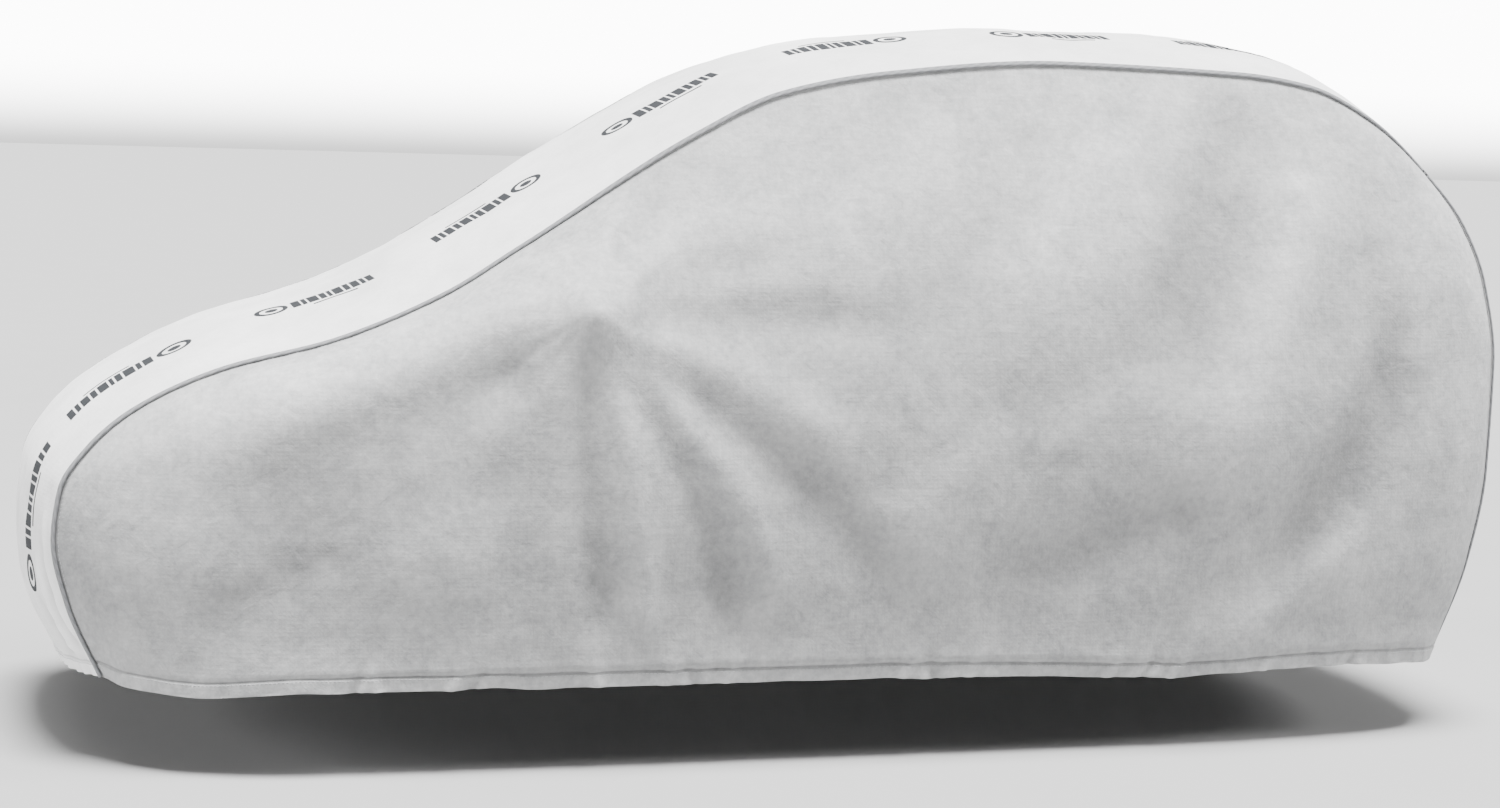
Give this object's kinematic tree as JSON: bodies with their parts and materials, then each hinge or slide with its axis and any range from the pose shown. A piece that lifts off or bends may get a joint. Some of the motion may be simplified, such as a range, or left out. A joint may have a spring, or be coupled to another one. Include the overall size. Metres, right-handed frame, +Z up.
{
  "type": "car cover",
  "caption": "Fitted cloth cover for a small hatchback car: a pale centre strip, grey side panels, dark seam binding and a turned hem, hollow and open underneath.",
  "frame": {"origin": "the underside of the cover's roof on the centre line, where it rests on the car", "axes": "+X towards the tail, +Y to the right-hand side of the car seen from above with the nose at -X and the left side at -Y, +Z up"},
  "size_m": [3.5348, 1.6682, 1.5302],
  "materials": {
    "centre_panel": "matt non-woven cloth",
    "side_panel": "matt non-woven cloth",
    "piping": "matt woven binding"
  },
  "bodies": {
    "root": {"centre_panel": "centre_panel", "side_panel_left": "side_panel", "side_panel_right": "side_panel", "piping_left": "piping", "piping_right": "piping"}
  },
  "joints": []
}
